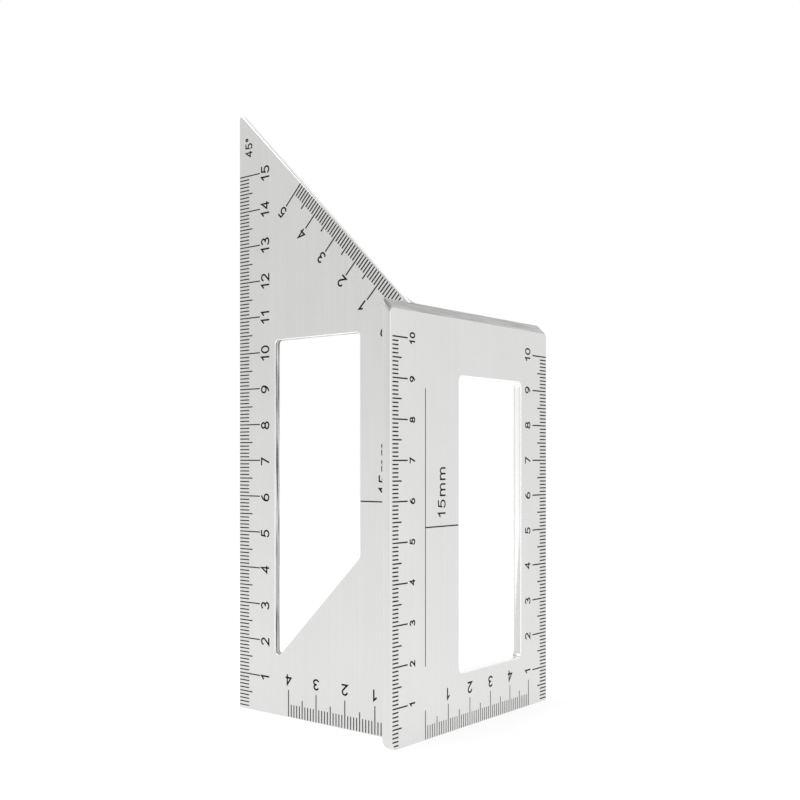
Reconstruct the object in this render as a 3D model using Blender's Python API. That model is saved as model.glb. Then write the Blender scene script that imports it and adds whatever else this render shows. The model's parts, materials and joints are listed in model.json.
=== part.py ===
"""Aluminium mitre and try square: a marking blade standing square on a T-shaped fence.

The blade carries a 45 degree mitre edge at its top and a window with a 45 degree sill. The
fence crosses its root, projects in front of the blade as a stub, and has a window of its own.
The blade's root edge is a tongue that seats in a groove between the fence's two root flares.

Frame: +X from the blade's free edge to the fence's outer face, +Y along the fence away from the
stub, +Z up. The origin is the bottom centre of the overall box. Lengths are in metres.
"""

import math

import bmesh
import bpy
from mathutils import Matrix, Vector

MM = 0.001

# Fence plate
FENCE_THICKNESS = 2.5 * MM
FENCE_WIDTH = 74.8 * MM
FENCE_HEIGHT = 107.0 * MM
FENCE_WINDOW_SETBACK = 29.5 * MM
FENCE_WINDOW_WIDTH = 30.9 * MM
FENCE_WINDOW_SILL = 14.5 * MM
FENCE_WINDOW_HEIGHT = 77.5 * MM
FENCE_WINDOW_RADIUS = 1.5 * MM
STUB_FOOT_RADIUS = 3.2 * MM
STUB_TOP_RADIUS = 1.5 * MM
FAR_FOOT_RADIUS = 0.8 * MM
FAR_TOP_RADIUS = 1.6 * MM

# Marking blade
BLADE_THICKNESS = 2.0 * MM
BLADE_REACH = 59.0 * MM
BLADE_SETBACK = 10.0 * MM
BLADE_FOOT_RADIUS = 0.5 * MM
BLADE_TIP_RADIUS = 0.8 * MM
BLADE_WINDOW_SETBACK = 15.0 * MM
BLADE_WINDOW_WIDTH = 30.0 * MM
BLADE_WINDOW_SILL = 15.0 * MM
BLADE_WINDOW_TOP = 103.0 * MM
BLADE_WINDOW_RADIUS = 1.0 * MM
BLADE_WINDOW_RELIEF = 1.2 * MM
MITRE_ANGLE = math.radians(45.0)

# Root joint
ROOT_RADIUS = 1.5 * MM
GROOVE_DEPTH = 0.9 * MM
TONGUE_CLEARANCE = 0.05 * MM
GROOVE_FLOOR_CLEARANCE = 0.3 * MM

# Modelling limits
ARC_STEP = math.radians(12.0)
FLAT_ANGLE = math.radians(0.5)
CUT_MARGIN = 1.0 * MM
WELD_DISTANCE = 1e-6

# Places that follow from the sizes above
MITRE_SLOPE = math.tan(MITRE_ANGLE)
OUTER_X = (BLADE_REACH + FENCE_THICKNESS) / 2
INNER_X = OUTER_X - FENCE_THICKNESS
FREE_X = INNER_X - BLADE_REACH
GROOVE_X = INNER_X + GROOVE_DEPTH
TONGUE_X = GROOVE_X - GROOVE_FLOOR_CLEARANCE
STUB_Y = -FENCE_WIDTH / 2
FAR_Y = FENCE_WIDTH / 2
BLADE_FRONT_Y = STUB_Y + BLADE_SETBACK
BLADE_BACK_Y = BLADE_FRONT_Y + BLADE_THICKNESS
BLADE_MID_Y = (BLADE_FRONT_Y + BLADE_BACK_Y) / 2

ALUMINIUM = (0.66, 0.66, 0.65, 1.0)
BLADE_ROUGHNESS = 0.38
FENCE_ROUGHNESS = 0.34
METALLIC = 0.9


def mitre_height(x):
    """Height at x of the mitre plane, the one saw cut across blade and fence."""
    return FENCE_HEIGHT + (OUTER_X - x) * MITRE_SLOPE


def clear_scene():
    """Remove every object that the file opened with."""
    for obj in list(bpy.data.objects):
        bpy.data.objects.remove(obj, do_unlink=True)


def new_collection(name):
    """Add a collection under the scene."""
    collection = bpy.data.collections.new(name)
    bpy.context.scene.collection.children.link(collection)
    return collection


def aluminium(name, roughness):
    """Satin anodised aluminium."""
    material = bpy.data.materials.new(name)
    material.use_nodes = True
    shader = material.node_tree.nodes["Principled BSDF"]
    shader.inputs["Base Color"].default_value = ALUMINIUM
    shader.inputs["Metallic"].default_value = METALLIC
    shader.inputs["Roughness"].default_value = roughness
    return material


def arc(centre, start, sweep):
    """Points that turn the arm start about centre by sweep, counter-clockwise if positive."""
    steps = max(2, math.ceil(abs(sweep) / ARC_STEP))
    return [centre + Matrix.Rotation(sweep * step / steps, 2) @ start for step in range(steps + 1)]


def rounded_outline(corners):
    """Points of a closed outline whose corners (u, v, radius) are rounded."""
    points = []
    for index, (u, v, radius) in enumerate(corners):
        corner = Vector((u, v))
        if radius == 0:
            points.append(corner)
            continue
        before = (Vector(corners[index - 1][:2]) - corner).normalized()
        after = (Vector(corners[(index + 1) % len(corners)][:2]) - corner).normalized()
        half_angle = before.angle(after) / 2
        setback = radius / math.tan(half_angle)
        centre = corner + (before + after).normalized() * (radius / math.sin(half_angle))
        start = corner + before * setback - centre
        end = corner + after * setback - centre
        points += arc(centre, start, -start.angle_signed(end))
    return points


def flat_plate(name, outlines, thickness, collection):
    """Solid of closed outlines in its own XY plane, which halves its thickness.

    The first outline is the rim, and any others are windows in it.
    """
    curve = bpy.data.curves.new(name, "CURVE")
    curve.dimensions = "2D"
    curve.fill_mode = "BOTH"
    curve.extrude = thickness / 2
    for outline in outlines:
        spline = curve.splines.new("POLY")
        spline.points.add(len(outline) - 1)
        for point, (u, v) in zip(spline.points, outline):
            point.co = (u, v, 0.0, 1.0)
        spline.use_cyclic_u = True
    source = bpy.data.objects.new(name, curve)
    collection.objects.link(source)
    graph = bpy.context.evaluated_depsgraph_get()
    mesh = bpy.data.meshes.new_from_object(source.evaluated_get(graph))
    bpy.data.objects.remove(source, do_unlink=True)
    bpy.data.curves.remove(curve)

    solid = bmesh.new()
    solid.from_mesh(mesh)
    bmesh.ops.remove_doubles(solid, verts=solid.verts, dist=WELD_DISTANCE)
    bmesh.ops.dissolve_limit(solid, angle_limit=FLAT_ANGLE, verts=solid.verts, edges=solid.edges)
    bmesh.ops.recalc_face_normals(solid, faces=solid.faces)
    solid.to_mesh(mesh)
    solid.free()
    obj = bpy.data.objects.new(name, mesh)
    collection.objects.link(obj)
    return obj


def stand_up(solid, turn, place):
    """Stand a plate on its lower edge, turn it about +Z and move it to its place."""
    upright = Matrix.Rotation(math.radians(90.0), 4, "X")
    solid.data.transform(Matrix.Translation(place) @ Matrix.Rotation(turn, 4, "Z") @ upright)


def blade_outlines():
    """Rim and window of the blade in X and Z."""
    window_right = INNER_X - BLADE_WINDOW_SETBACK
    window_left = window_right - BLADE_WINDOW_WIDTH
    sill_rise = BLADE_WINDOW_WIDTH * MITRE_SLOPE
    rim = rounded_outline([
        (FREE_X, 0.0, BLADE_FOOT_RADIUS),
        (TONGUE_X, 0.0, 0.0),
        (TONGUE_X, mitre_height(TONGUE_X), 0.0),
        (FREE_X, mitre_height(FREE_X), BLADE_TIP_RADIUS),
    ])
    window = rounded_outline([
        (window_left, BLADE_WINDOW_SILL, BLADE_WINDOW_RELIEF),
        (window_right, BLADE_WINDOW_SILL + sill_rise, BLADE_WINDOW_RADIUS),
        (window_right, BLADE_WINDOW_TOP, BLADE_WINDOW_RADIUS),
        (window_left, BLADE_WINDOW_TOP, BLADE_WINDOW_RADIUS),
    ])
    return [rim, window]


def fence_outlines():
    """Rim and window of the fence's outer face in Y and Z."""
    window_near = STUB_Y + FENCE_WINDOW_SETBACK
    window_far = window_near + FENCE_WINDOW_WIDTH
    window_top = FENCE_WINDOW_SILL + FENCE_WINDOW_HEIGHT
    rim = rounded_outline([
        (STUB_Y, 0.0, STUB_FOOT_RADIUS),
        (FAR_Y, 0.0, FAR_FOOT_RADIUS),
        (FAR_Y, FENCE_HEIGHT, FAR_TOP_RADIUS),
        (STUB_Y, FENCE_HEIGHT, STUB_TOP_RADIUS),
    ])
    window = rounded_outline([
        (window_near, FENCE_WINDOW_SILL, FENCE_WINDOW_RADIUS),
        (window_far, FENCE_WINDOW_SILL, FENCE_WINDOW_RADIUS),
        (window_far, window_top, FENCE_WINDOW_RADIUS),
        (window_near, window_top, FENCE_WINDOW_RADIUS),
    ])
    return [rim, window]


def fence_plan():
    """Plan of the fence in X and Y: plate, root flares and the groove between them.

    Its ends run past the fence's rim, which trims them.
    """
    stub_end = STUB_Y - CUT_MARGIN
    far_end = FAR_Y + CUT_MARGIN
    groove_front = BLADE_FRONT_Y - TONGUE_CLEARANCE
    groove_back = BLADE_BACK_Y + TONGUE_CLEARANCE
    front_centre = Vector((INNER_X - ROOT_RADIUS, BLADE_FRONT_Y - ROOT_RADIUS))
    back_centre = Vector((INNER_X - ROOT_RADIUS, BLADE_BACK_Y + ROOT_RADIUS))
    flare_sweep = math.asin(1.0 - TONGUE_CLEARANCE / ROOT_RADIUS)
    toe_arm = Vector((ROOT_RADIUS, 0.0))
    crest_arm = Matrix.Rotation(flare_sweep, 2) @ toe_arm
    return [
        Vector((OUTER_X, stub_end)),
        Vector((OUTER_X, far_end)),
        Vector((INNER_X, far_end)),
        *arc(back_centre, toe_arm, -flare_sweep),
        Vector((GROOVE_X, groove_back)),
        Vector((GROOVE_X, groove_front)),
        *arc(front_centre, crest_arm, -flare_sweep),
        Vector((INNER_X, stub_end)),
    ]


def build_blade(collection):
    """Marking blade, with its tongue in the fence's groove."""
    blade = flat_plate("mitre_blade", blade_outlines(), BLADE_THICKNESS, collection)
    stand_up(blade, 0.0, Vector((0.0, BLADE_MID_Y, 0.0)))
    blade.data.materials.append(aluminium("blade_aluminium", BLADE_ROUGHNESS))


def build_fence_trim(collection):
    """Solid that trims the fence to its rim and window, its top leaning along the mitre."""
    near_x = INNER_X - ROOT_RADIUS - CUT_MARGIN
    far_x = OUTER_X + CUT_MARGIN
    trim = flat_plate("fence_trim", fence_outlines(), far_x - near_x, collection)
    stand_up(trim, math.radians(90.0), Vector(((near_x + far_x) / 2, 0.0, 0.0)))
    top_band = FENCE_HEIGHT - max(STUB_TOP_RADIUS, FAR_TOP_RADIUS) - WELD_DISTANCE
    for vertex in trim.data.vertices:
        if vertex.co.z > top_band:
            vertex.co.z += mitre_height(vertex.co.x) - FENCE_HEIGHT
    trim.hide_render = True
    trim.display_type = "WIRE"
    return trim


def build_fence(collection, cutters):
    """Fence: its plan drawn up to its height, then trimmed to its rim and window."""
    height = mitre_height(INNER_X - ROOT_RADIUS) + 2 * CUT_MARGIN
    fence = flat_plate("fence", [fence_plan()], height, collection)
    fence.data.transform(Matrix.Translation((0.0, 0.0, height / 2 - CUT_MARGIN)))
    boolean = fence.modifiers.new("rim_and_window", "BOOLEAN")
    boolean.operation = "INTERSECT"
    boolean.solver = "EXACT"
    boolean.object = build_fence_trim(cutters)
    fence.data.materials.append(aluminium("fence_aluminium", FENCE_ROUGHNESS))


def main():
    """Build the square."""
    clear_scene()
    parts = new_collection("mitre_square")
    cutters = new_collection("mitre_square_cutters")
    build_blade(parts)
    build_fence(parts, cutters)


main()
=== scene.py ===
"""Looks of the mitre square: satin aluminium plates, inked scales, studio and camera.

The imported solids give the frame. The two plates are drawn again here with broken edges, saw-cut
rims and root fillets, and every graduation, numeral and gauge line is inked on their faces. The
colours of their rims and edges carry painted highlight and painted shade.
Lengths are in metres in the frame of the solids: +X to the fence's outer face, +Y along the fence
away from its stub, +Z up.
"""

from __future__ import annotations

import json
import logging
import math
from dataclasses import dataclass, field
from enum import Enum
from typing import Any, Iterable, Mapping, Sequence, Union

import bmesh
import bpy
from mathutils import Matrix, Vector
from mathutils.geometry import tessellate_polygon

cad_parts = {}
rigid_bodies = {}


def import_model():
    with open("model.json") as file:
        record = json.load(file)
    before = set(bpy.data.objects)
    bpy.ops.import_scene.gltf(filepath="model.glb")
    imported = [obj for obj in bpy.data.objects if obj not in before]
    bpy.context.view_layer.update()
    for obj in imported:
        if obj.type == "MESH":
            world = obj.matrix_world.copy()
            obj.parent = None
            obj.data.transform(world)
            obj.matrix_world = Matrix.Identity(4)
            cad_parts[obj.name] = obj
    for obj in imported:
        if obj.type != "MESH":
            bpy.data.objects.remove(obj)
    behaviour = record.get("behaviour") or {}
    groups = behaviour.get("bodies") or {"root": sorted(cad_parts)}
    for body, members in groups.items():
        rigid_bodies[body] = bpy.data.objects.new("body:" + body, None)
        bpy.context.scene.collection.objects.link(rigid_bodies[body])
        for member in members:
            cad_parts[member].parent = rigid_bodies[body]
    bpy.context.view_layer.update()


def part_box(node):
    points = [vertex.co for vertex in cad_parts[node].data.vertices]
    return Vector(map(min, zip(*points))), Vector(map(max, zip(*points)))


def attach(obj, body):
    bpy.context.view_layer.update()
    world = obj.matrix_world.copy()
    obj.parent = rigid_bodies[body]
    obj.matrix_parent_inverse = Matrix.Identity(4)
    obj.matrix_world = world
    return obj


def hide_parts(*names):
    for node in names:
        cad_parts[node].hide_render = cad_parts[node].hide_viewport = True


LOG = logging.getLogger("mitre_square")
MM = 0.001
BODY = "root"
QUARTER_TURN = math.radians(90.0)
HALF_TURN = math.radians(180.0)
MM_PER_CM = 10
# Least cosine that an offset divides by at a corner, so that a sharp mitre stays short.
MITRE_LIMIT = 0.35
# Largest angle between the points of a numeral's curve.
OVAL_STEP_DEGREES = 18.0
# Mean of the noise, and the middle between the two tones of a finish.
MIDDLE_TONE = 0.5
# Sockets of a Mix node for colours, whose names repeat for each type of data.
MIX_FACTOR, MIX_FIRST, MIX_SECOND, MIX_RESULT = 0, 6, 7, 2

Value = Union[float, "Wire"]
Corner = tuple[float, float, float]
Colour = tuple[float, float, float]
Stroke = list[tuple[float, float]]
Ring = list[bmesh.types.BMVert]


class Cap(Enum):
    """How an inked line ends."""

    SQUARE = "square"
    ROUND = "round"


class Surface(Enum):
    """The surfaces of a plate that take a finish of their own."""

    FACE = 0
    RIM = 1
    BREAK = 2
    WINDOW = 3


class Wire:
    """A shader value that takes part in Python arithmetic."""

    def __init__(self, tree: bpy.types.NodeTree, socket: bpy.types.NodeSocket) -> None:
        """Hold an output socket and the tree that it belongs to."""
        self.tree = tree
        self.socket = socket

    def _combine(self, operation: str, first: Value, second: Value) -> Wire:
        """Add a Math node.

        Args:
            operation: Name of the Math node's operation.
            first: Its first value.
            second: Its second value.

        Returns:
            The node's result.
        """
        node = self.tree.nodes.new("ShaderNodeMath")
        node.operation = operation
        for socket, value in zip(node.inputs, (first, second)):
            if isinstance(value, Wire):
                self.tree.links.new(value.socket, socket)
            else:
                socket.default_value = value
        return Wire(self.tree, node.outputs["Value"])

    def __add__(self, other: Value) -> Wire:
        """Sum."""
        return self._combine("ADD", self, other)

    def __radd__(self, other: Value) -> Wire:
        """Sum with a number on the left."""
        return self._combine("ADD", other, self)

    def __sub__(self, other: Value) -> Wire:
        """Difference."""
        return self._combine("SUBTRACT", self, other)

    def __rsub__(self, other: Value) -> Wire:
        """Difference from a number on the left."""
        return self._combine("SUBTRACT", other, self)

    def __mul__(self, other: Value) -> Wire:
        """Product."""
        return self._combine("MULTIPLY", self, other)

    def __rmul__(self, other: Value) -> Wire:
        """Product with a number on the left."""
        return self._combine("MULTIPLY", other, self)

    def at_least(self, other: Value) -> Wire:
        """Larger of the two values."""
        return self._combine("MAXIMUM", self, other)


class Graph:
    """A node tree under construction."""

    def __init__(self, owner: bpy.types.Material | bpy.types.World) -> None:
        """Empty a tree.

        Args:
            owner: Material or world that the tree belongs to.
        """
        owner.use_nodes = True
        self.tree = owner.node_tree
        self.tree.nodes.clear()

    def add(
        self,
        kind: str,
        inputs: Mapping[str | int, Any] | None = None,
        settings: Mapping[str, Any] | None = None,
    ) -> bpy.types.Node:
        """Add a node.

        Args:
            kind: Its type.
            inputs: Values or wires for its sockets.
            settings: Its properties, set before the sockets. "stops" fills a colour ramp.

        Returns:
            The node.
        """
        node = self.tree.nodes.new(kind)
        for name, value in (settings or {}).items():
            if name == "stops":
                self._fill_ramp(node.color_ramp, value)
            else:
                setattr(node, name, value)
        for name, value in (inputs or {}).items():
            if isinstance(value, Wire):
                self.tree.links.new(value.socket, node.inputs[name])
            else:
                node.inputs[name].default_value = value
        return node

    def node(
        self,
        kind: str,
        output: str | int,
        inputs: Mapping[str | int, Any] | None = None,
        settings: Mapping[str, Any] | None = None,
    ) -> Wire:
        """Add a node for one of its outputs.

        Args:
            kind: Its type.
            output: Name or index of the output that is wanted.
            inputs: Values or wires for its sockets.
            settings: Its properties.

        Returns:
            The wanted output.
        """
        return Wire(self.tree, self.add(kind, inputs, settings).outputs[output])

    @staticmethod
    def _fill_ramp(ramp: bpy.types.ColorRamp, stops: Sequence[tuple[float, float]]) -> None:
        """Set a ramp's stops.

        Args:
            ramp: The ramp.
            stops: Position and grey value of each stop, in order.
        """
        while len(ramp.elements) < len(stops):
            ramp.elements.new(1.0)
        for element, (position, grey) in zip(ramp.elements, stops):
            element.position = position
            element.color = (grey, grey, grey, 1.0)

    def place(self) -> Wire:
        """Position on the object, in metres."""
        return self.node("ShaderNodeTexCoord", "Object")

    def stretch(self, scale: tuple[float, float, float]) -> Wire:
        """Position on the object, scaled along each axis."""
        return self.node("ShaderNodeMapping", "Vector", {"Vector": self.place(), "Scale": scale})

    def noise(self, vector: Wire, scale: float, detail: float) -> Wire:
        """Cloudy noise about zero.

        Args:
            vector: Where to read it.
            scale: Cells per unit of the vector.
            detail: Octaves.

        Returns:
            The noise, from about -0.5 to 0.5.
        """
        inputs = {"Vector": vector, "Scale": scale, "Detail": detail}
        return self.node("ShaderNodeTexNoise", "Fac", inputs) - MIDDLE_TONE

    def tint(self, amount: Wire, dark: Sequence[float], light: Sequence[float]) -> Wire:
        """Blend of two colours.

        Args:
            amount: 0 for the dark colour, 1 for the light one.
            dark: Red, green and blue.
            light: Red, green and blue.

        Returns:
            The colour.
        """
        inputs = {MIX_FACTOR: amount, MIX_FIRST: (*dark, 1.0), MIX_SECOND: (*light, 1.0)}
        return self.node("ShaderNodeMix", MIX_RESULT, inputs, {"data_type": "RGBA"})

    def surface(self, shader: Wire, target: str = "ShaderNodeOutputMaterial") -> None:
        """Connect the finished shader to the output."""
        self.add(target, {"Surface": shader})


@dataclass(frozen=True)
class SatinAluminium:
    """Clear anodised aluminium with a fine grain along the extrusion.

    Attributes:
        name: Name of the material.
        dark: Colour of the grain's troughs.
        light: Colour of its crests.
        roughness: Mean roughness.
        grain: Cells per metre of the grain across each axis; the smallest runs along the lines.
        grain_contrast: How strongly the grain shows in the colour.
        grain_roughness: How strongly it varies the roughness.
        grain_depth: Bump height of the grain.
        bump_strength: Strength of the bump.
        cloud_scale: Cells per metre of the broad changes of tone.
        cloud_contrast: How strongly they show in the colour.
        cloud_roughness: How strongly they vary the roughness.
        etch_scale: Cells per metre of the etched pits.
        etch_contrast: How strongly the pits show in the colour.
        etch_depth: Their height, as a share of the grain's.
        metallic: Share of bare metal.
    """

    name: str
    dark: Colour
    light: Colour
    roughness: float
    grain: tuple[float, float, float]
    grain_contrast: float = 0.9
    grain_roughness: float = 0.10
    grain_depth: float = 0.004 * MM
    bump_strength: float = 0.35
    cloud_scale: float = 45.0
    cloud_contrast: float = 0.8
    cloud_roughness: float = 0.06
    etch_scale: float = 9000.0
    etch_contrast: float = 0.5
    etch_depth: float = 0.6
    metallic: float = 1.0

    def build(self) -> bpy.types.Material:
        """Make the finish.

        Returns:
            Its material.
        """
        material = bpy.data.materials.new(self.name)
        graph = Graph(material)
        grain = graph.noise(graph.stretch(self.grain), scale=1.0, detail=3.0)
        cloud = graph.noise(graph.place(), self.cloud_scale, detail=2.0)
        etch = graph.noise(graph.place(), self.etch_scale, detail=1.0)
        shade = MIDDLE_TONE + grain * self.grain_contrast
        shade = shade + cloud * self.cloud_contrast + etch * self.etch_contrast
        relief = grain + etch * self.etch_depth
        bump = {"Strength": self.bump_strength, "Distance": self.grain_depth, "Height": relief}
        gloss = self.roughness + grain * self.grain_roughness + cloud * self.cloud_roughness
        shader = graph.node("ShaderNodeBsdfPrincipled", "BSDF", {
            "Base Color": graph.tint(shade, self.dark, self.light),
            "Metallic": self.metallic,
            "Roughness": gloss,
            "Normal": graph.node("ShaderNodeBump", "Normal", bump),
        })
        graph.surface(shader)
        return material


@dataclass(frozen=True)
class MarkingInk:
    """Black filled marking, a little uneven in its cover.

    Attributes:
        name: Name of the material.
        thin: Colour where the ink is thin.
        full: Colour where it is full.
        roughness: Mean roughness.
        specular: Level of its gloss.
        speckle_scale: Cells per metre of the uneven cover.
        speckle_contrast: How strongly the cover shows in the colour.
        speckle_roughness: How strongly it varies the roughness.
        speckle_depth: Bump height of the cover.
        bump_strength: Strength of the bump.
    """

    name: str = "marking_ink"
    thin: Colour = (0.016, 0.016, 0.017)
    full: Colour = (0.005, 0.005, 0.006)
    roughness: float = 0.6
    specular: float = 0.15
    speckle_scale: float = 5200.0
    speckle_contrast: float = 1.6
    speckle_roughness: float = 0.2
    speckle_depth: float = 0.003 * MM
    bump_strength: float = 0.3

    def build(self) -> bpy.types.Material:
        """Make the ink.

        Returns:
            Its material.
        """
        material = bpy.data.materials.new(self.name)
        graph = Graph(material)
        speckle = graph.noise(graph.place(), self.speckle_scale, detail=2.0)
        cover = MIDDLE_TONE + speckle * self.speckle_contrast
        bump = {"Strength": self.bump_strength, "Distance": self.speckle_depth, "Height": speckle}
        shader = graph.node("ShaderNodeBsdfPrincipled", "BSDF", {
            "Base Color": graph.tint(cover, self.thin, self.full),
            "Roughness": self.roughness + speckle * self.speckle_roughness,
            "Specular IOR Level": self.specular,
            "Normal": graph.node("ShaderNodeBump", "Normal", bump),
        })
        graph.surface(shader)
        return material


@dataclass(frozen=True)
class StudioPaper:
    """White paper floor that still shows the object's shadow.

    Attributes:
        name: Name of the material.
        white: Colour under the lamps.
        camera_lift: Glow that the camera sees added to it.
        mirror_lift: Glow that reflections see added to it.
    """

    name: str = "studio_paper"
    white: tuple[float, float, float, float] = (0.40, 0.40, 0.40, 1.0)
    camera_lift: float = 0.735
    mirror_lift: float = 0.78

    def build(self) -> bpy.types.Material:
        """Make the paper: lit white, lifted where the camera and reflections see it.

        Returns:
            Its material.
        """
        material = bpy.data.materials.new(self.name)
        graph = Graph(material)
        lit = graph.node("ShaderNodeBsdfDiffuse", "BSDF", {"Color": self.white})
        camera = graph.node("ShaderNodeLightPath", "Is Camera Ray")
        mirror = graph.node("ShaderNodeLightPath", "Is Glossy Ray")
        mirror = mirror.at_least(graph.node("ShaderNodeLightPath", "Is Transmission Ray"))
        lift = camera * self.camera_lift + mirror * self.mirror_lift
        glow = graph.node("ShaderNodeEmission", "Emission", {"Strength": lift})
        graph.surface(graph.node("ShaderNodeAddShader", "Shader", {0: lit, 1: glow}))
        return material


def arc(centre: Vector, arm: Vector, sweep: float, step: float) -> list[Vector]:
    """Points of a circular arc.

    Args:
        centre: Its centre.
        arm: From the centre to its first point.
        sweep: Angle to turn through, counter-clockwise if positive.
        step: Largest angle between points.

    Returns:
        The points, both ends included.
    """
    count = max(2, math.ceil(abs(sweep) / step))
    return [centre + Matrix.Rotation(sweep * i / count, 2) @ arm for i in range(count + 1)]


def rounded(corners: Sequence[Corner], step: float) -> list[Vector]:
    """Closed outline with rounded corners.

    Args:
        corners: Each corner's two coordinates and radius, in order.
        step: Largest angle between the points of an arc.

    Returns:
        The outline's points.
    """
    points: list[Vector] = []
    for index, (u, v, radius) in enumerate(corners):
        corner = Vector((u, v))
        if radius == 0.0:
            points.append(corner)
            continue
        before = (Vector(corners[index - 1][:2]) - corner).normalized()
        after = (Vector(corners[(index + 1) % len(corners)][:2]) - corner).normalized()
        half = before.angle(after) / 2
        setback = radius / math.tan(half)
        centre = corner + (before + after).normalized() * (radius / math.sin(half))
        start = corner + before * setback - centre
        end = corner + after * setback - centre
        points += arc(centre, start, -start.angle_signed(end), step)
    return points


def left_of(path: Sequence[Vector], index: int, ring: bool) -> Vector:
    """Direction to the left of a path, lengthened at a corner so that an offset mitres.

    Args:
        path: Points of the path.
        index: The point.
        ring: Whether the last point joins the first.

    Returns:
        The direction at the point.
    """
    last = len(path) - 1
    here = path[index]
    before = path[index - 1] if ring or index > 0 else None
    after = path[(index + 1) % len(path)] if ring or index < last else None
    into = (here - before).normalized() if before is not None else (after - here).normalized()
    out = (after - here).normalized() if after is not None else into
    normals = [Vector((-d.y, d.x)) for d in (into, out)]
    middle = (normals[0] + normals[1]).normalized()
    return middle / max(middle.dot(normals[0]), MITRE_LIMIT)


def band(solid: bmesh.types.BMesh, first: Ring, second: Ring) -> list[bmesh.types.BMFace]:
    """Faces between two closed rings of vertices.

    Args:
        solid: Mesh to add them to.
        first: One ring.
        second: The other, vertex for vertex.

    Returns:
        The faces.
    """
    faces = []
    for index in range(len(first)):
        after = (index + 1) % len(first)
        faces.append(solid.faces.new((first[index], second[index], second[after], first[after])))
    return faces


def close_mesh(
    solid: bmesh.types.BMesh, name: str, finishes: Sequence[bpy.types.Material]
) -> bpy.types.Mesh:
    """Turn a solid's faces outwards and make its mesh.

    Args:
        solid: The solid, which is used up.
        name: Name of the mesh.
        finishes: Its materials, in the order of their slots.

    Returns:
        The mesh.
    """
    bmesh.ops.recalc_face_normals(solid, faces=solid.faces)
    mesh = bpy.data.meshes.new(name)
    solid.to_mesh(mesh)
    solid.free()
    for finish in finishes:
        mesh.materials.append(finish)
    return mesh


def add_piece(name: str, mesh: bpy.types.Mesh) -> bpy.types.Object:
    """Put a mesh in the scene as a piece of the object.

    Args:
        name: Name of the piece.
        mesh: Its mesh, in the frame of the solids.

    Returns:
        The piece.
    """
    piece = bpy.data.objects.new(name, mesh)
    bpy.context.scene.collection.objects.link(piece)
    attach(piece, BODY)
    LOG.info("%s: %d faces", name, len(mesh.polygons))
    return piece


@dataclass(frozen=True)
class Layout:
    """Places that the scene shares with the solids.

    Attributes:
        outer_x: Fence's outer face.
        free_x: Blade's free edge.
        stub_y: Fence's end in front of the blade.
        far_y: Fence's other end.
        front_y: Blade's front face.
        back_y: Blade's back face.
        fence_thickness: Thickness of the fence plate.
        fence_height: Height of the fence's outer face.
        mitre_slope: Rise of the mitre for each unit towards the free edge.
        break_width: Width of the broken edges.
        relief: Depth of the plates' faces below those of the solids, which the ink fills.
        arc_step: Largest angle between the points of an arc.
    """

    outer_x: float
    free_x: float
    stub_y: float
    far_y: float
    front_y: float
    back_y: float
    fence_thickness: float = 2.5 * MM
    fence_height: float = 107.0 * MM
    mitre_slope: float = math.tan(math.radians(45.0))
    break_width: float = 0.22 * MM
    relief: float = 0.015 * MM
    arc_step: float = math.radians(6.0)

    @classmethod
    def from_frame(cls) -> Layout:
        """Read the places from the boxes of the two solids.

        Returns:
            The places.
        """
        fence_low, fence_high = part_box("fence")
        blade_low, blade_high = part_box("mitre_blade")
        return cls(
            outer_x=fence_high[0],
            free_x=blade_low[0],
            stub_y=fence_low[1],
            far_y=fence_high[1],
            front_y=blade_low[1],
            back_y=blade_high[1],
        )

    @property
    def inner_x(self) -> float:
        """Fence's inner face."""
        return self.outer_x - self.fence_thickness

    def mitre_height(self, x: float) -> float:
        """Height of the mitre plane at x."""
        return self.fence_height + (self.outer_x - x) * self.mitre_slope


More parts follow.
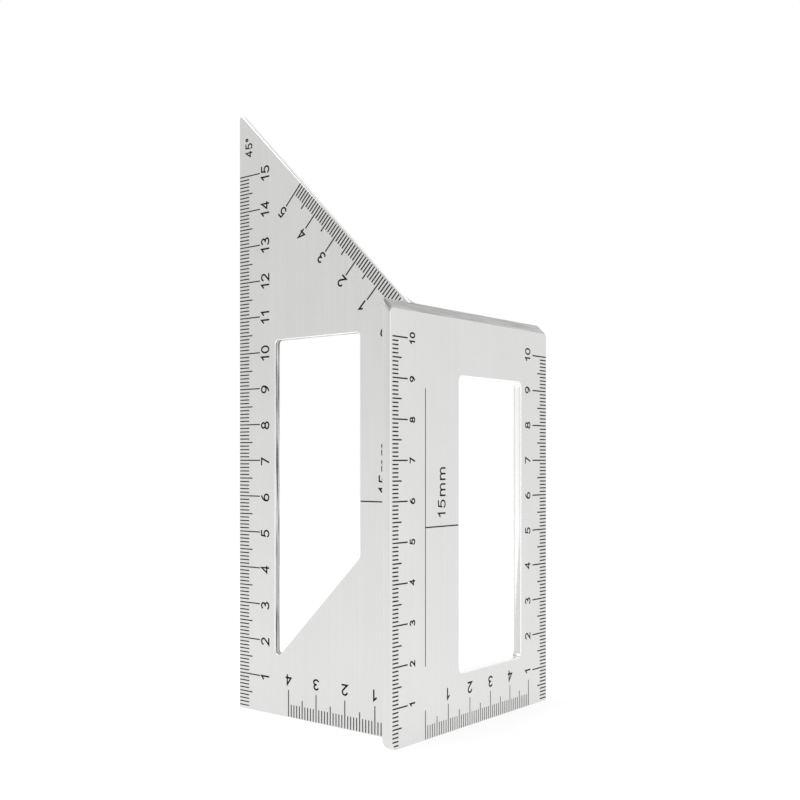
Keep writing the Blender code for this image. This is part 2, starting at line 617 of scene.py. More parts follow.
@dataclass
class Plate:
    """A flat plate with broken edges, drawn in its own plane and stood up.

    Attributes:
        layout: Shared places.
        face_finish: Finish of its two faces.
        rim_finish: Colour of its rims, with painted highlight on the blade's and painted shade on
            the fence's.
        break_finish: Colour of its broken edges, bare cut metal with a painted highlight.
        window_finish: Colour of its window's walls, with painted shade on the blade's and painted
            highlight on the fence's.
        break_steps: Facets across a broken edge.
        upright_limit: Largest upward tilt of a rim that counts as upright.
        foot_limit: Largest downward tilt of a rim that counts as upright.
        weld: Slack when places are compared.
    """

    layout: Layout
    face_finish: bpy.types.Material
    rim_finish: bpy.types.Material
    break_finish: bpy.types.Material
    window_finish: bpy.types.Material
    break_steps: int = 3
    upright_limit: float = 0.08
    foot_limit: float = 0.95
    weld: float = 1e-6

    def break_at(self, inward: Vector) -> float:
        """Width of the broken edge where the rim's inward normal is given."""
        return self.layout.break_width

    def draw(
        self, name: str, outlines: Sequence[Sequence[Vector]], thickness: float
    ) -> bpy.types.Mesh:
        """Plate of closed outlines in its own XY plane, with rounded-over edges.

        Args:
            name: Name of the mesh.
            outlines: Rim first, then windows, all counter-clockwise.
            thickness: Thickness between its faces.

        Returns:
            The mesh, centred on its plane.
        """
        solid = bmesh.new()
        caps: tuple[Ring, Ring] = ([], [])
        loops: list[list[Vector]] = []
        for index, outline in enumerate(outlines):
            window = index > 0
            path = list(reversed(outline)) if window else list(outline)
            inward = [left_of(path, place, True) for place in range(len(path))]
            widths = [self.layout.break_width if window else self.break_at(i) for i in inward]
            rings = self._rings(solid, path, inward, widths, thickness)
            loops.append([vertex.co.copy() for vertex in rings[0]])
            caps[0].extend(rings[0])
            caps[1].extend(rings[-1])
            self._strips(solid, rings, Surface.WINDOW if window else Surface.RIM)
        for cap in caps:
            for triangle in tessellate_polygon(loops):
                face = solid.faces.new([cap[corner] for corner in triangle])
                face.material_index = Surface.FACE.value
        finishes = (self.face_finish, self.rim_finish, self.break_finish, self.window_finish)
        return close_mesh(solid, name, finishes)

    def _rings(
        self,
        solid: bmesh.types.BMesh,
        path: Sequence[Vector],
        inward: Sequence[Vector],
        widths: Sequence[float],
        thickness: float,
    ) -> list[Ring]:
        """Rings of vertices from one face of the plate to the other.

        Args:
            solid: Mesh to add them to.
            path: Outline, with the metal on its left.
            inward: Direction into the metal at each point.
            widths: Width of the broken edge at each point.
            thickness: Thickness between the faces.

        Returns:
            The rings, in order.
        """
        turns = [QUARTER_TURN * step / self.break_steps for step in range(self.break_steps + 1)]
        levels = [(turn, 1.0) for turn in turns] + [(turn, -1.0) for turn in reversed(turns)]
        rings = []
        for turn, side in levels:
            ring = []
            for point, into, width in zip(path, inward, widths):
                spot = point + into * (width * (1.0 - math.sin(turn)))
                height = thickness / 2 - width * (1.0 - math.cos(turn))
                ring.append(solid.verts.new((spot.x, spot.y, side * height)))
            rings.append(ring)
        return rings

    def _strips(self, solid: bmesh.types.BMesh, rings: Sequence[Ring], wall: Surface) -> None:
        """Faces between rings.

        Args:
            solid: Mesh to add them to.
            rings: The rings, in order.
            wall: Surface of the strip between the two broken edges.
        """
        for level, (upper, lower) in enumerate(zip(rings, rings[1:])):
            surface = wall if level == self.break_steps else Surface.BREAK
            for face in band(solid, upper, lower):
                face.material_index = surface.value
                face.smooth = True

    def dress_ends(self, mesh: bpy.types.Mesh, windows: Sequence[Sequence[Vector]]) -> None:
        """Give upright rims and their edges, extruded like the faces, the faces' finish.

        Args:
            mesh: The plate, in its own plane.
            windows: Outlines of its windows, which are milled.
        """
        for polygon in mesh.polygons:
            milled = any(self._inside(polygon.center, window) for window in windows)
            if not milled and -self.foot_limit < polygon.normal.y < self.upright_limit:
                polygon.material_index = Surface.FACE.value

    def _inside(self, spot: Vector, window: Sequence[Vector]) -> bool:
        """Whether a spot lies within a window's box and its broken edge.

        Args:
            spot: The spot, in the plate's own plane.
            window: Outline of the window.

        Returns:
            True inside.
        """
        margin = self.layout.break_width + self.weld
        low = [min(point[axis] for point in window) - margin for axis in (0, 1)]
        high = [max(point[axis] for point in window) + margin for axis in (0, 1)]
        return all(low[axis] <= spot[axis] <= high[axis] for axis in (0, 1))

    @staticmethod
    def stand_up(mesh: bpy.types.Mesh, turn: float, place: Vector) -> None:
        """Stand a plate on its lower edge.

        Args:
            mesh: The plate.
            turn: Angle about +Z.
            place: Where its own origin goes.
        """
        upright = Matrix.Rotation(QUARTER_TURN, 4, "X")
        mesh.transform(Matrix.Translation(place) @ Matrix.Rotation(turn, 4, "Z") @ upright)


@dataclass
class Blade(Plate):
    """Marking blade with its mitre edge and window.

    Attributes:
        foot_radius: Corner of the foot at the free edge.
        tip_radius: Corner of the tip.
        window_setback: From the fence's inner face to the window.
        window_width: Width of the window.
        window_sill: Lowest corner of its slanted sill.
        window_top: Its upper edge.
        window_radius: Its corners.
        window_relief: Corner at the foot of the sill.
        root_overlap: Depth of the root inside the fence.
    """

    foot_radius: float = 0.5 * MM
    tip_radius: float = 0.8 * MM
    window_setback: float = 15.0 * MM
    window_width: float = 30.0 * MM
    window_sill: float = 15.0 * MM
    window_top: float = 103.0 * MM
    window_radius: float = 1.0 * MM
    window_relief: float = 1.2 * MM
    root_overlap: float = 0.6 * MM

    def outlines(self) -> list[list[Vector]]:
        """Draw the blade in X and Z.

        Returns:
            Its rim and its window.
        """
        places = self.layout
        root = places.inner_x + self.root_overlap
        right = places.inner_x - self.window_setback
        left = right - self.window_width
        sill_end = self.window_sill + self.window_width * places.mitre_slope
        rim = [
            (places.free_x, 0.0, self.foot_radius),
            (root, 0.0, 0.0),
            (root, places.mitre_height(root), 0.0),
            (places.free_x, places.mitre_height(places.free_x), self.tip_radius),
        ]
        window = [
            (left, self.window_sill, self.window_relief),
            (right, sill_end, self.window_radius),
            (right, self.window_top, self.window_radius),
            (left, self.window_top, self.window_radius),
        ]
        return [rounded(rim, places.arc_step), rounded(window, places.arc_step)]

    def build(self) -> bpy.types.Object:
        """Build the blade, which stands for its solid.

        Returns:
            The piece.
        """
        places = self.layout
        thickness = places.back_y - places.front_y - 2 * places.relief
        outlines = self.outlines()
        mesh = self.draw("blade_plate", outlines, thickness)
        self.dress_ends(mesh, outlines[1:])
        self.stand_up(mesh, 0.0, Vector((0.0, (places.front_y + places.back_y) / 2, 0.0)))
        piece = add_piece("blade_plate", mesh)
        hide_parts("mitre_blade")
        return piece


@dataclass
class Fence(Plate):
    """Fence plate with its window, mitred top and root fillets.

    Attributes:
        window_setback: From the stub's end to the window.
        window_width: Width of the window.
        window_sill: Its lower edge.
        window_height: Its height.
        window_radius: Its corners.
        stub_foot_radius: Corner of the stub at the foot.
        stub_top_radius: Corner of the stub at the top.
        far_foot_radius: Corner of the far end at the foot.
        far_top_radius: Corner of the far end at the top.
        root_radius: Radius of the root fillets.
        root_overlap: Depth of the fillets inside the plates.
        end_round: Rounding of the extruded ends.
        crease: Least angle between faces of a fillet that stays sharp.
    """

    window_setback: float = 29.5 * MM
    window_width: float = 30.9 * MM
    window_sill: float = 14.5 * MM
    window_height: float = 77.5 * MM
    window_radius: float = 1.5 * MM
    stub_foot_radius: float = 3.2 * MM
    stub_top_radius: float = 1.5 * MM
    far_foot_radius: float = 0.8 * MM
    far_top_radius: float = 1.6 * MM
    root_radius: float = 1.5 * MM
    root_overlap: float = 0.2 * MM
    end_round: float = 0.38 * MM
    crease: float = math.radians(35.0)

    def break_at(self, inward: Vector) -> float:
        """Rounding of the extruded ends, running out into the plain break along foot and top."""
        small = self.layout.break_width
        return small + (self.end_round - small) * min(abs(inward.x), 1.0) ** 2

    def outlines(self) -> list[list[Vector]]:
        """Draw the outer face in Y and Z.

        Returns:
            Its rim and its window.
        """
        places = self.layout
        near = places.stub_y + self.window_setback
        far = near + self.window_width
        top = self.window_sill + self.window_height
        rim = [
            (places.stub_y, 0.0, self.stub_foot_radius),
            (places.far_y, 0.0, self.far_foot_radius),
            (places.far_y, places.fence_height, self.far_top_radius),
            (places.stub_y, places.fence_height, self.stub_top_radius),
        ]
        window = [
            (near, self.window_sill, self.window_radius),
            (far, self.window_sill, self.window_radius),
            (far, top, self.window_radius),
            (near, top, self.window_radius),
        ]
        return [rounded(rim, places.arc_step), rounded(window, places.arc_step)]

    def dress_top(self, mesh: bpy.types.Mesh, window: Sequence[Vector]) -> None:
        """Give the mitred top's broken edges the rim's painted shade instead of a highlight.

        Args:
            mesh: The plate, in its own plane.
            window: Outline of its window, which is milled.
        """
        for polygon in mesh.polygons:
            broken = polygon.material_index == Surface.BREAK.value
            if broken and polygon.normal.y > 0.0 and not self._inside(polygon.center, window):
                polygon.material_index = Surface.RIM.value

    def build(self) -> bpy.types.Object:
        """Build the fence, which stands for its solid.

        Returns:
            The piece.
        """
        places = self.layout
        outlines = self.outlines()
        mesh = self.draw("fence_plate", outlines, places.fence_thickness - 2 * places.relief)
        self.dress_ends(mesh, outlines[1:])
        self.dress_top(mesh, outlines[1])
        middle_x = (places.inner_x + places.outer_x) / 2
        self.stand_up(mesh, QUARTER_TURN, Vector((middle_x, 0.0, 0.0)))
        top_band = places.fence_height - max(self.stub_top_radius, self.far_top_radius) - self.weld
        for vertex in mesh.vertices:
            if vertex.co.z > top_band:
                vertex.co.z += places.mitre_height(vertex.co.x) - places.fence_height
        piece = add_piece("fence_plate", mesh)
        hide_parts("fence")
        return piece

    def build_fillet(self, name: str, face_y: float, side: float) -> bpy.types.Object:
        """Concave fillet along the root, cut off at the mitre plane.

        Args:
            name: Name of the piece.
            face_y: Face of the blade that it runs along.
            side: -1 in front of the blade, 1 behind it.

        Returns:
            The fillet.
        """
        places = self.layout
        radius = self.root_radius
        centre = Vector((places.inner_x - radius, face_y + side * radius))
        curve = arc(centre, Vector((radius, 0.0)), -side * QUARTER_TURN, places.arc_step)
        inside = Vector((places.inner_x + self.root_overlap, face_y - side * self.root_overlap))
        plan = [Vector((inside.x, centre.y)), *curve, Vector((centre.x, inside.y)), inside]
        solid = bmesh.new()
        foot = [solid.verts.new((x, y, 0.0)) for x, y in plan]
        head = [solid.verts.new((x, y, places.mitre_height(x))) for x, y in plan]
        solid.faces.new(foot)
        solid.faces.new(head)
        band(solid, head, foot)
        mesh = close_mesh(solid, name, (self.face_finish, self.rim_finish))
        # Upright faces take the face colour, the mitred head the rim's colour with its painted
        # shade.
        for polygon in mesh.polygons:
            upright = abs(polygon.normal.z) < self.upright_limit
            polygon.material_index = Surface.FACE.value if upright else Surface.RIM.value
        mesh.shade_smooth()
        mesh.set_sharp_from_angle(angle=self.crease)
        return add_piece(name, mesh)


@dataclass(frozen=True)
class Face:
    """A flat face to draw on, as seen from outside.

    Attributes:
        origin: A point on it.
        right: Direction to the right.
        up: Direction upwards.
    """

    origin: Vector
    right: Vector
    up: Vector

    def at(self, point: Vector, height: float) -> Vector:
        """Point of space above a point of the drawing."""
        normal = self.right.cross(self.up)
        return self.origin + self.right * point.x + self.up * point.y + normal * height


@dataclass(frozen=True)
class Glyph:
    """A character drawn with a pen in a cell one digit wide and one high.

    Attributes:
        advance: Width of the cell that it fills, in digits.
        strokes: Places of the pen in each stroke.
    """

    advance: float
    strokes: list[Stroke]


def oval(x: float, y: float, rx: float, ry: float, start: float, end: float) -> Stroke:
    """Stretch of an ellipse.

    Args:
        x: Its centre.
        y: Its centre.
        rx: Half its width.
        ry: Half its height.
        start: First angle in degrees.
        end: Last angle in degrees.

    Returns:
        The points from start to end.
    """
    count = max(3, math.ceil(abs(end - start) / OVAL_STEP_DEGREES))
    angles = [math.radians(start + (end - start) * i / count) for i in range(count + 1)]
    return [(x + rx * math.cos(a), y + ry * math.sin(a)) for a in angles]


def half_turn(strokes: list[Stroke]) -> list[Stroke]:
    """Strokes of a digit turned upside down."""
    return [[(1.0 - x, 1.0 - y) for x, y in stroke] for stroke in strokes]


# The nine is the six upside down.
SIX = [oval(0.5, 0.31, 0.5, 0.31, 180, 540), oval(0.95, 0.33, 0.95, 0.67, 180, 105)]
# Half the width of an arch of the m.
ARCH = 0.39
GLYPHS: dict[str, Glyph] = {
    "0": Glyph(1.0, [oval(0.5, 0.5, 0.5, 0.5, 90, 450)]),
    "1": Glyph(0.72, [[(0.12, 0.74), (0.56, 1.0), (0.56, 0.0)]]),
    "2": Glyph(1.0, [oval(0.5, 0.71, 0.46, 0.29, 165, -35) + [(0.04, 0.0), (1.0, 0.0)]]),
    "3": Glyph(1.0, [
        oval(0.46, 0.75, 0.42, 0.25, 150, -90),
        oval(0.46, 0.25, 0.5, 0.25, 90, -150),
    ]),
    "4": Glyph(1.0, [[(0.76, 0.0), (0.76, 1.0), (0.0, 0.28), (1.0, 0.28)]]),
    "5": Glyph(1.0, [
        [(0.92, 1.0), (0.2, 1.0), (0.1, 0.54)] + oval(0.46, 0.32, 0.5, 0.32, 130, -150),
    ]),
    "6": Glyph(1.0, SIX),
    "7": Glyph(1.0, [[(0.0, 1.0), (1.0, 1.0), (0.36, 0.0)]]),
    "8": Glyph(1.0, [oval(0.5, 0.75, 0.41, 0.25, -90, 270), oval(0.5, 0.25, 0.5, 0.25, 90, 450)]),
    "9": Glyph(1.0, half_turn(SIX)),
    "m": Glyph(4 * ARCH, [
        [(0.0, 0.0), (0.0, 0.72)],
        oval(ARCH, 0.42, ARCH, 0.30, 180, 0) + [(2 * ARCH, 0.0)],
        oval(3 * ARCH, 0.42, ARCH, 0.30, 180, 0) + [(4 * ARCH, 0.0)],
    ]),
    "°": Glyph(0.5, [oval(0.25, 0.84, 0.22, 0.16, 0, 360)]),
}


@dataclass(frozen=True)
class Lettering:
    """Size of a line of characters.

    Attributes:
        height: Height of a digit over its strokes.
        width: Width of a digit over its strokes.
        gap: Space between characters.
        pen: Width of the strokes.
    """

    height: float
    width: float
    gap: float = 0.45 * MM
    pen: float = 0.48 * MM

    @property
    def cell(self) -> Vector:
        """Width and height of the cell that the pen's middle moves in."""
        return Vector((self.width - self.pen, self.height - self.pen))

    @property
    def space(self) -> float:
        """Distance between the cells of two characters."""
        return self.gap + self.pen

    def length(self, text: str) -> float:
        """Length of a line of text between the pen's first and last places."""
        return sum(GLYPHS[c].advance for c in text) * self.cell.x + self.space * (len(text) - 1)


@dataclass
class Inkwork:
    """Marks of one scale or label, gathered in one mesh.

    Attributes:
        face: Face that they are drawn on.
        proud: Height of the ink above the face.
        sunk: Depth of its foot below the face.
        cap_steps: Facets of a round cap.
        closing: Gap between a line's ends, in pen widths, that still makes it a ring.
        mesh: The marks so far.
    """

    face: Face
    proud: float = 0.012 * MM
    sunk: float = 0.02 * MM
    cap_steps: int = 6
    closing: float = 0.1
    mesh: bmesh.types.BMesh = field(default_factory=bmesh.new)

    def line(self, points: Sequence[Vector], pen: float, cap: Cap) -> None:
        """Ink a line of even width.

        Args:
            points: Its middle. If the last point is the first, the line is a ring.
            pen: Its width.
            cap: How it ends.
        """
        ring = (points[0] - points[-1]).length < pen * self.closing and len(points) > 2
        path = list(points[:-1]) if ring else list(points)
        left: list[Vector] = []
        right: list[Vector] = []
        for index, point in enumerate(path):
            side = left_of(path, index, ring) * (pen / 2)
            left.append(point + side)
            right.append(point - side)
        if ring:
            self._prism_ring(left, right)
            return
        tail: list[Vector] = []
        head: list[Vector] = []
        if cap is Cap.ROUND:
            step = HALF_TURN / self.cap_steps
            head = arc(path[-1], left[-1] - path[-1], -HALF_TURN, step)[1:-1]
            tail = arc(path[0], right[0] - path[0], -HALF_TURN, step)[1:-1]
        self._prism_line(left, right, head, tail)

    def _loft(self, loop: Sequence[Vector]) -> tuple[Ring, Ring]:
        """Raise a loop to the ink's thickness.

        Args:
            loop: Points of the drawing.

        Returns:
            Its vertices on top of the ink and at its foot.
        """
        top = [self.mesh.verts.new(self.face.at(p, self.proud)) for p in loop]
        foot = [self.mesh.verts.new(self.face.at(p, -self.sunk)) for p in loop]
        return top, foot

    def _prism_line(
        self, left: list[Vector], right: list[Vector], head: list[Vector], tail: list[Vector]
    ) -> None:
        """Closed solid of an open line.

        Args:
            left: Its left side.
            right: Its right side.
            head: Cap at its end, from left to right.
            tail: Cap at its start, from right to left.
        """
        count = len(left)
        top, foot = self._loft(left + head + right[::-1] + tail)
        band(self.mesh, top, foot)
        mirror = 2 * count + len(head) - 1
        for level, order in ((top, 1), (foot, -1)):
            for index in range(count - 1):
                across = mirror - index
                quad = (level[index], level[index + 1], level[across - 1], level[across])
                self.mesh.faces.new(quad[::order])
            if head:
                self.mesh.faces.new(level[count - 1:count + len(head) + 1][::order])
            if tail:
                self.mesh.faces.new((level[mirror:] + [level[0]])[::order])

    def _prism_ring(self, left: list[Vector], right: list[Vector]) -> None:
        """Closed solid of a ring.

        Args:
            left: Its left side.
            right: Its right side.
        """
        left_top, left_foot = self._loft(left)
        right_top, right_foot = self._loft(right)
        around = (left_top, left_foot, right_foot, right_top, left_top)
        for first, second in zip(around, around[1:]):
            band(self.mesh, first, second)

    def write(self, text: str, middle: Vector, reading: Vector, style: Lettering) -> None:
        """Ink a line of characters.

        Args:
            text: The characters.
            middle: Centre of the line.
            reading: Direction that it reads in.
            style: Its size.
        """
        rise = Vector((-reading.y, reading.x))
        wide, high = style.cell
        pen = middle - reading * (style.length(text) / 2) - rise * (high / 2)
        for character in text:
            glyph = GLYPHS[character]
            for stroke in glyph.strokes:
                points = [pen + reading * (x * wide) + rise * (y * high) for x, y in stroke]
                self.line(points, style.pen, Cap.ROUND)
            pen = pen + reading * (glyph.advance * wide + style.space)

    def finish(self, name: str, ink: bpy.types.Material) -> bpy.types.Object:
        """Close the mesh and add it as a piece.

        Args:
            name: Name of the piece.
            ink: Its finish.

        Returns:
            The piece.
        """
        return add_piece(name, close_mesh(self.mesh, name, (ink,)))


@dataclass(frozen=True)
class Scale:
    """A centimetre scale along an edge.

    Attributes:
        name: Name of its pieces.
        face: Face that it is drawn on.
        zero: Where it counts from, on the edge.
        along: Direction that it counts in.
        inward: Direction from the edge into the plate.
        millimetres: First and last graduation.
        numbers: First and last number.
        reading: Direction that its numbers read in.
        style: Size of its numbers.
        lengths: Ends of the millimetre, half centimetre and centimetre marks, from the edge.
        margin: Bare strip along the edge.
        pen: Width of the graduations.
        number_gap: Space between a centimetre mark and its number.
        number_shift: Offset of the numbers in the direction that the scale counts in.
        late: Wider margins of the graduations that would run into a rounded corner or fillet.
    """

    name: str
    face: Face
    zero: Vector
    along: Vector
    inward: Vector
    millimetres: tuple[int, int]
    numbers: tuple[int, int]
    reading: Vector
    style: Lettering
    lengths: tuple[float, float, float]
    margin: float = 0.25 * MM
    pen: float = 0.36 * MM
    number_gap: float = 0.4 * MM
    number_shift: float = 0.0
    late: Mapping[int, float] = field(default_factory=dict)

    def reach(self, millimetre: int) -> float:
        """End of a graduation.

        Args:
            millimetre: Its number.

        Returns:
            Its distance from the edge.
        """
        short, half, full = self.lengths
        if millimetre % MM_PER_CM == 0:
            return full
        return half if millimetre % (MM_PER_CM // 2) == 0 else short

    def build(self, ink: bpy.types.Material) -> list[bpy.types.Object]:
        """Graduations and numbers.

        Args:
            ink: Their finish.

        Returns:
            The two pieces.
        """
        marks = Inkwork(self.face)
        first, last = self.millimetres
        for millimetre in range(first, last + 1):
            foot = self.zero + self.along * (millimetre * MM)
            start = self.late.get(millimetre, self.margin)
            ends = [foot + self.inward * start, foot + self.inward * self.reach(millimetre)]
            marks.line(ends, self.pen, Cap.SQUARE)
        numerals = Inkwork(self.face)
        setback = self.lengths[2] + self.number_gap + self.style.height / 2
        first, last = self.numbers
        for number in range(first, last + 1):
            count = number * MM_PER_CM * MM + self.number_shift
            middle = self.zero + self.along * count + self.inward * setback
            numerals.write(str(number), middle, self.reading, self.style)
        return [
            marks.finish(f"{self.name}_graduations", ink),
            numerals.finish(f"{self.name}_numerals", ink),
        ]


@dataclass
class Marking:
    """All the inked scales, labels and gauge lines.

    Attributes:
        layout: Shared places.
        ink: Finish of the marks.
        gauge_offset: From the stub's end to the gauge line.
        gauge_low: Lower end of the gauge line.
        gauge_high: Its upper end.
        gauge_pen: Its width.
        leader_pen: Width of the leaders.
        fence_leader_z: Height of the fence's leader.
        blade_leader_z: Height of the blade's leader.
        fence_leader: Length of the fence's leader from the gauge line.
        blade_leader: End of the blade's leader, from the fence's inner face.
        leader_root: Start of the blade's leader, from the fence's inner face.
        label_offset: From the gauge line or the inner face to the middle of a strip's label.
        label_rise: Gap between a leader and its label.
        strip_text: Width of the marked strips.
        strip_style: Size of their labels.
        angle_text: Angle of the mitre.
        angle_style: Size of its label.
        angle_offset: From the free edge to the middle of the angle's label.
        angle_z: Height of its middle.
    """

    layout: Layout
    ink: bpy.types.Material
    gauge_offset: float = 14.6 * MM
    gauge_low: float = 18.5 * MM
    gauge_high: float = 88.0 * MM
    gauge_pen: float = 0.26 * MM
    leader_pen: float = 0.34 * MM
    fence_leader_z: float = 53.2 * MM
    blade_leader_z: float = 59.5 * MM
    fence_leader: float = 14.6 * MM
    blade_leader: float = 14.7 * MM
    leader_root: float = 2.0 * MM
    label_offset: float = 7.1 * MM
    label_rise: float = 2.3 * MM
    strip_text: str = "15mm"
    strip_style: Lettering = Lettering(3.4 * MM, 2.3 * MM, 0.75 * MM, 0.44 * MM)
    angle_text: str = "45°"
    angle_style: Lettering = Lettering(2.75 * MM, 1.8 * MM, 0.4 * MM, 0.4 * MM)
    angle_offset: float = 3.75 * MM
    angle_z: float = 158.0 * MM

    @property
    def gauge_y(self) -> float:
        """Place of the gauge line."""
        return self.layout.stub_y + self.gauge_offset

    def blade_face(self) -> Face:
        """Front of the blade, drawn in X and Z."""
        front = self.layout.front_y + self.layout.relief
        return Face(Vector((0.0, front, 0.0)), Vector((1.0, 0.0, 0.0)), Vector((0.0, 0.0, 1.0)))

    def fence_face(self) -> Face:
        """Outer face of the fence, drawn in Y and Z."""
        outer = self.layout.outer_x - self.layout.relief
        return Face(Vector((outer, 0.0, 0.0)), Vector((0.0, 1.0, 0.0)), Vector((0.0, 0.0, 1.0)))

    def scales(self) -> list[Scale]:
        """Lay out the six scales.

        Returns:
            The scales.
        """
        places = self.layout
        blade = self.blade_face()
        fence = self.fence_face()
        up, right, left = Vector((0.0, 1.0)), Vector((1.0, 0.0)), Vector((-1.0, 0.0))
        mitre_along = Vector((-1.0, places.mitre_slope)).normalized()
        mitre_inward = Vector((mitre_along.x, -mitre_along.y))
        mitre_zero = Vector((places.inner_x, places.mitre_height(places.inner_x)))
        tall = Lettering(3.25 * MM, 2.25 * MM)
        slanted = Lettering(3.15 * MM, 2.15 * MM)
        low = Lettering(3.05 * MM, 2.25 * MM)
        small = Lettering(2.3 * MM, 1.55 * MM, 0.35 * MM, 0.42 * MM)
        middling = Lettering(2.9 * MM, 2.0 * MM, 0.4 * MM, 0.44 * MM)
        foot_lengths = (3.6 * MM, 5.2 * MM, 7.5 * MM)
        return [
            Scale("blade_edge", blade, Vector((places.free_x, 0.0)), up, right,
                  millimetres=(1, 150), numbers=(1, 15), reading=up, style=tall,
                  lengths=(3.85 * MM, 5.15 * MM, 8.1 * MM),
                  pen=0.32 * MM, number_shift=-0.3 * MM),
            Scale("mitre_edge", blade, mitre_zero, mitre_along, mitre_inward,
                  millimetres=(1, 50), numbers=(0, 5), reading=mitre_along, style=slanted,
                  lengths=(3.7 * MM, 5.0 * MM, 7.8 * MM),
                  pen=0.4 * MM, late={1: 1.5 * MM, 2: 0.5 * MM}),
            Scale("blade_foot", blade, Vector((places.inner_x, 0.0)), left, up,
                  millimetres=(2, 40), numbers=(1, 4), reading=left, style=low,
                  lengths=foot_lengths, pen=0.32 * MM, number_gap=1.2 * MM),
            Scale("fence_near", fence, Vector((places.stub_y, 0.0)), up, right,
                  millimetres=(1, 100), numbers=(1, 10), reading=up, style=small,
                  lengths=(3.45 * MM, 4.75 * MM, 7.2 * MM),
                  margin=1.1 * MM, number_gap=0.8 * MM, late={1: 1.7 * MM}),
            Scale("fence_far", fence, Vector((places.far_y, 0.0)), up, left,
                  millimetres=(1, 100), numbers=(1, 10), reading=up, style=middling,
                  lengths=(3.85 * MM, 5.25 * MM, 7.95 * MM),
                  margin=0.38 * MM, number_gap=1.2 * MM),
            Scale("fence_foot", fence, Vector((self.gauge_y, 0.0)), right, up,
                  millimetres=(0, 50), numbers=(1, 4), reading=left, style=low,
                  lengths=foot_lengths, pen=0.27 * MM, number_gap=1.1 * MM),
        ]

    def build_gauge(self) -> list[bpy.types.Object]:
        """Ink the gauge line and the leaders of the marked strips.

        Returns:
            The fence's lines and the blade's leader.
        """
        gauge = [Vector((self.gauge_y, z)) for z in (self.gauge_low, self.gauge_high)]
        fence_ends = (self.gauge_y, self.gauge_y + self.fence_leader)
        fence_leader = [Vector((y, self.fence_leader_z)) for y in fence_ends]
        fence_lines = Inkwork(self.fence_face())
        fence_lines.line(gauge, self.gauge_pen, Cap.SQUARE)
        fence_lines.line(fence_leader, self.leader_pen, Cap.SQUARE)
        root = self.layout.inner_x
        blade_ends = (root - self.leader_root, root - self.blade_leader)
        blade_leader = [Vector((x, self.blade_leader_z)) for x in blade_ends]
        blade_lines = Inkwork(self.blade_face())
        blade_lines.line(blade_leader, self.leader_pen, Cap.SQUARE)
        return [
            fence_lines.finish("fence_gauge_lines", self.ink),
            blade_lines.finish("blade_gauge_leader", self.ink),
        ]

    def build_labels(self) -> list[bpy.types.Object]:
        """Ink the width of the marked strips and the angle of the mitre.

        Returns:
            The three labels.
        """
        fence, blade = self.fence_face(), self.blade_face()
        rise = self.strip_style.length(self.strip_text) / 2 + self.label_rise
        fence_middle = Vector((self.gauge_y + self.label_offset, self.fence_leader_z + rise))
        blade_middle = Vector((self.layout.inner_x - self.label_offset, self.blade_leader_z + rise))
        angle_middle = Vector((self.layout.free_x + self.angle_offset, self.angle_z))
        labels = [
            ("fence_strip_label", fence, self.strip_text, fence_middle, self.strip_style),
            ("blade_strip_label", blade, self.strip_text, blade_middle, self.strip_style),
            ("mitre_angle_label", blade, self.angle_text, angle_middle, self.angle_style),
        ]
        pieces = []
        for name, face, text, middle, style in labels:
            label = Inkwork(face)
            label.write(text, middle, Vector((0.0, 1.0)), style)
            pieces.append(label.finish(name, self.ink))
        return pieces

    def build(self) -> list[bpy.types.Object]:
        """Every inked piece."""
        pieces = [piece for scale in self.scales() for piece in scale.build(self.ink)]
        return pieces + self.build_gauge() + self.build_labels()


@dataclass(frozen=True)
class SoftLamp:
    """Soft lamp that faces the object.

    Attributes:
        name: Its name.
        place: Where it stands.
        size: Its width and height.
        power: Its power in watts.
    """

    name: str
    place: tuple[float, float, float]
    size: tuple[float, float]
    power: float

    def build(self, aim: Vector) -> None:
        """Put the lamp in the scene.

        Args:
            aim: The point that it faces.
        """
        light = bpy.data.lights.new(self.name, "AREA")
        light.shape = "RECTANGLE"
        light.size, light.size_y = self.size
        light.energy = self.power
        lamp = bpy.data.objects.new(self.name, light)
        lamp.location = self.place
        lamp.rotation_euler = (aim - Vector(self.place)).to_track_quat("-Z", "Y").to_euler()
        bpy.context.scene.collection.objects.link(lamp)


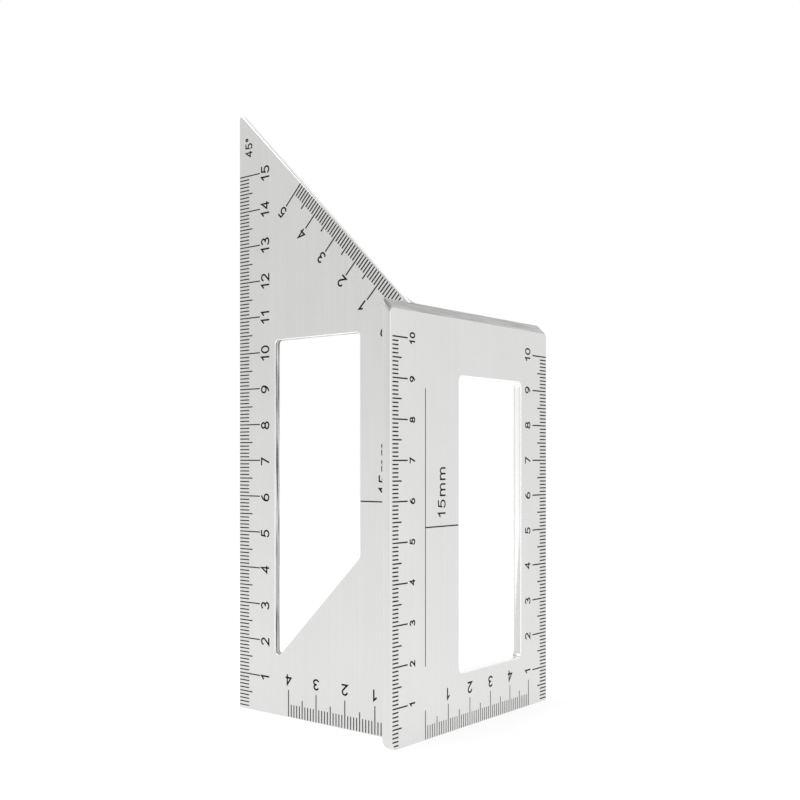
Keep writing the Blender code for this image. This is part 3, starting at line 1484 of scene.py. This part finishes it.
@dataclass
class Studio:
    """White paper floor, soft light and the camera at the photograph's viewpoint.

    Attributes:
        floor_size: Side of the paper.
        floor_cells: Faces along a side of the paper.
        camera_place: Where the camera stands.
        view_angle: Its turn about +Z.
        lens: Its focal length in millimetres.
        sensor: Width of its sensor in millimetres.
        shift: Its shift to the right and up.
        near_clip: Nearest distance that it sees.
        room_levels: Height in the room, and brightness of its walls and ceiling there.
        front_fall: How much lower the ceiling's shade starts in front of the blade.
        lamp_aim: The point that the lamps face.
        lamps: The lamps.
    """

    floor_size: float = 4.0
    floor_cells: int = 8
    camera_place: tuple[float, float, float] = (189.27 * MM, -242.68 * MM, 70.18 * MM)
    view_angle: float = math.radians(40.742)
    lens: float = 48.638
    sensor: float = 36.0
    shift: tuple[float, float] = (0.0852, 0.0746)
    near_clip: float = 0.01
    room_levels: tuple[tuple[float, float], ...] = (
        (0.0, 1.0), (0.29, 1.0), (0.40, 0.83), (0.50, 0.85), (0.70, 0.56), (1.0, 0.44),
    )
    front_fall: float = 0.35
    lamp_aim: tuple[float, float, float] = (0.0, 0.0, 70.0 * MM)
    lamps: tuple[SoftLamp, ...] = (
        SoftLamp("top_lamp", (-0.34, -0.56, 0.90), (0.6, 0.6), 3.2),
        SoftLamp("side_lamp", (0.95, 0.25, 0.25), (0.08, 0.6), 0.6),
    )

    def build_floor(self) -> None:
        """Paper floor under the object."""
        cells = {"x_subdivisions": self.floor_cells, "y_subdivisions": self.floor_cells}
        bpy.ops.mesh.primitive_grid_add(size=self.floor_size, **cells)
        floor = bpy.context.object
        floor.name = "paper_floor"
        floor.data.materials.append(StudioPaper().build())

    def build_world(self) -> None:
        """White walls under a dimmer ceiling, lower in front of the blade than behind it."""
        world = bpy.data.worlds.new("studio")
        bpy.context.scene.world = world
        graph = Graph(world)
        direction = graph.node("ShaderNodeTexCoord", "Generated")
        height = graph.node("ShaderNodeSeparateXYZ", "Z", {"Vector": direction})
        depth = graph.node("ShaderNodeSeparateXYZ", "Y", {"Vector": direction})
        level = height - depth * self.front_fall
        ramp = {"stops": self.room_levels}
        room = graph.node("ShaderNodeValToRGB", "Color", {"Fac": level.at_least(0.0)}, ramp)
        glow = graph.node("ShaderNodeBackground", "Background", {"Color": room, "Strength": 1.0})
        graph.surface(glow, "ShaderNodeOutputWorld")

    def build_camera(self) -> None:
        """Level camera, framed by its shift so that uprights stay upright."""
        data = bpy.data.cameras.new("camera")
        data.sensor_width = self.sensor
        data.lens = self.lens
        data.shift_x, data.shift_y = self.shift
        data.clip_start = self.near_clip
        camera = bpy.data.objects.new("camera", data)
        camera.location = self.camera_place
        camera.rotation_euler = (QUARTER_TURN, 0.0, self.view_angle)
        bpy.context.scene.collection.objects.link(camera)
        bpy.context.scene.camera = camera

    def build(self) -> None:
        """Camera, floor, world and lamps."""
        bpy.context.scene.view_settings.view_transform = "Standard"
        self.build_camera()
        self.build_floor()
        self.build_world()
        for lamp in self.lamps:
            lamp.build(Vector(self.lamp_aim))


def clear_scene() -> None:
    """Remove what the file opened with."""
    for obj in list(bpy.data.objects):
        bpy.data.objects.remove(obj, do_unlink=True)


def corners(box: Iterable[Sequence[float]]) -> list[list[float]]:
    """Box as plain lists of numbers."""
    return [[float(value) for value in corner] for corner in box]


def main() -> None:
    """Load the solids, build every piece and report it."""
    logging.basicConfig(level=logging.INFO, format="%(name)s: %(message)s")
    clear_scene()
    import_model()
    Studio().build()

    layout = Layout.from_frame()
    face = SatinAluminium(
        "satin_face", dark=(0.69, 0.69, 0.685), light=(0.77, 0.77, 0.76), roughness=0.40,
        grain=(2600.0, 2600.0, 14.0),
    ).build()
    # Painted shade: the fence's mitred top band and the fillet heads, darker than the blade's rim
    # of the same cut; the grain along the band is the saw's.
    painted_shade_rim = SatinAluminium(
        "sawn_rim_painted_shade", dark=(0.37, 0.37, 0.365), light=(0.67, 0.67, 0.66), roughness=0.44,
        grain=(1300.0, 70.0, 1300.0), grain_contrast=2.0,
    ).build()
    # Painted highlight: near-white colour on the blade's mitre and foot rims and on the fence's
    # window walls.
    painted_highlight_rim = SatinAluminium(
        "rim_painted_highlight", dark=(0.95, 0.95, 0.945), light=(0.99, 0.99, 0.985), roughness=0.18,
        grain=(900.0, 6000.0, 900.0),
    ).build()
    # Broken edges: bare cut metal, lighter than the faces, with a painted highlight in their
    # near-white colour.
    edge = SatinAluminium(
        "broken_edge_bare_metal_and_highlight", dark=(0.93, 0.93, 0.925), light=(0.98, 0.98, 0.975), roughness=0.20,
        grain=(2600.0, 2600.0, 60.0),
    ).build()
    # Painted shade: dark and light streaks along the blade window's walls.
    shaded = SatinAluminium(
        "shaded_rim", dark=(0.14, 0.14, 0.137), light=(0.90, 0.90, 0.89), roughness=0.46,
        grain=(120.0, 1300.0, 60.0), grain_contrast=3.4,
    ).build()
    Blade(layout, face, painted_highlight_rim, edge, shaded).build()
    fence = Fence(layout, face, painted_shade_rim, edge, painted_highlight_rim)
    fence.build()
    fence.build_fillet("root_fillet_front", layout.front_y, -1.0)
    fence.build_fillet("root_fillet_back", layout.back_y, 1.0)
    pieces = Marking(layout, MarkingInk().build()).build()
    LOG.info("%d inked pieces", len(pieces))


if __name__ == "__main__":
    main()
